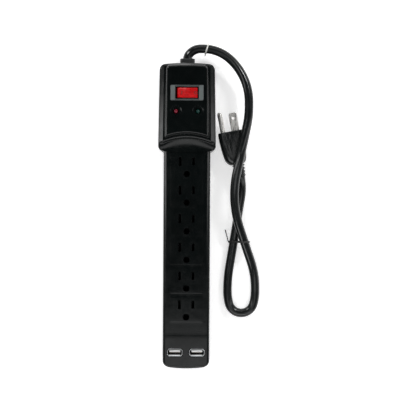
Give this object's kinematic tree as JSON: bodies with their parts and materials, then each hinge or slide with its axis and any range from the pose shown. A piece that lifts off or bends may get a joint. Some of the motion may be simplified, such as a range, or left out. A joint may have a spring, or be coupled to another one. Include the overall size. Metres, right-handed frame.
{
  "type": "power strip",
  "caption": "Surge-protecting power strip: a raised head with a lighted rocker switch, a row of grounded outlets, USB ports, and a short corded plug folded beside it.",
  "frame": {"origin": "middle of the housing's underside, at half its length and width", "axes": "+Z out of the outlet face, +Y towards the switch head and the cord, +X to the side on which the cord is folded"},
  "size_m": [0.098, 0.31, 0.0396],
  "materials": {
    "housing": "fine satin texture, moulded",
    "screw_steel": "zinc plated",
    "boot": "soft matte",
    "cord": "glossy vinyl",
    "white_plastic": "smooth nylon",
    "bezel": "satin grey",
    "brass": "stamped",
    "rocker_red": "translucent gloss",
    "lamp_glass": "clear",
    "spring_steel": "drawn wire",
    "board": "solder mask",
    "blue_epoxy": "dipped epoxy",
    "ceramic": "ceramic body",
    "lens_red": "clear red lens",
    "lens_green": "clear green lens",
    "lead_black": "wire insulation",
    "lead_white": "wire insulation",
    "lead_green": "wire insulation",
    "lead_red": "wire insulation",
    "nickel": "nickel plated",
    "gold_contact": "gold flash",
    "transformer_tape": "polyester tape",
    "capacitor_sleeve": "shrink sleeve",
    "plug": "moulded vinyl",
    "tie_black": "coated wire"
  },
  "bodies": {
    "housing": {"bottom_case": "housing", "top_cover": "housing", "case_screws": "screw_steel", "cord_boot": "boot", "cord_root": "cord", "cord_clamp": "white_plastic", "switch_frame": "bezel", "switch_terminals": "brass", "surge_board": "board", "varistors": "blue_epoxy", "thermal_fuse": "ceramic", "resistors": "ceramic", "led_red": "lens_red", "led_green": "lens_green", "line_bus": "brass", "neutral_bus": "brass", "ground_bus": "brass", "line_lead": "lead_black", "neutral_lead": "lead_white", "ground_lead": "lead_green", "switched_lead": "lead_red", "usb_board": "board", "usb_shells": "nickel", "usb_tongues": "white_plastic", "usb_contacts": "gold_contact", "usb_transformer": "transformer_tape", "usb_capacitor": "capacitor_sleeve"},
    "rocker": {"rocker": "rocker_red", "neon_lamp": "lamp_glass", "plunger": "white_plastic", "plunger_spring": "spring_steel"},
    "contact_lever": {"contact_lever": "brass"},
    "cord": {"cord_jacket": "cord", "plug_body": "plug", "line_blade": "nickel", "neutral_blade": "nickel", "ground_pin": "nickel", "twist_tie": "tie_black", "cable_tie": "white_plastic"}
  },
  "joints": [
    {"name": "rocker_tilt", "type": "hinge", "parent": "housing", "child": "rocker", "pos_m": [0, 0.1162, 0.0332], "axis": [0, -1, 0], "range_deg": [0, 20]},
    {"name": "lever_snap", "type": "hinge", "parent": "housing", "child": "contact_lever", "pos_m": [0, 0.1162, 0.02315], "axis": [0, -1, 0], "range_deg": [-14, 0]},
    {"name": "cord_lift", "type": "hinge", "parent": "housing", "child": "cord", "pos_m": [0, 0.15, 0.016], "axis": [-1, 0, 0], "range_deg": [0, 20]}
  ],
  "couplings": [
    {"joint": "lever_snap", "follows": "rocker_tilt", "ratio": -0.7}
  ]
}
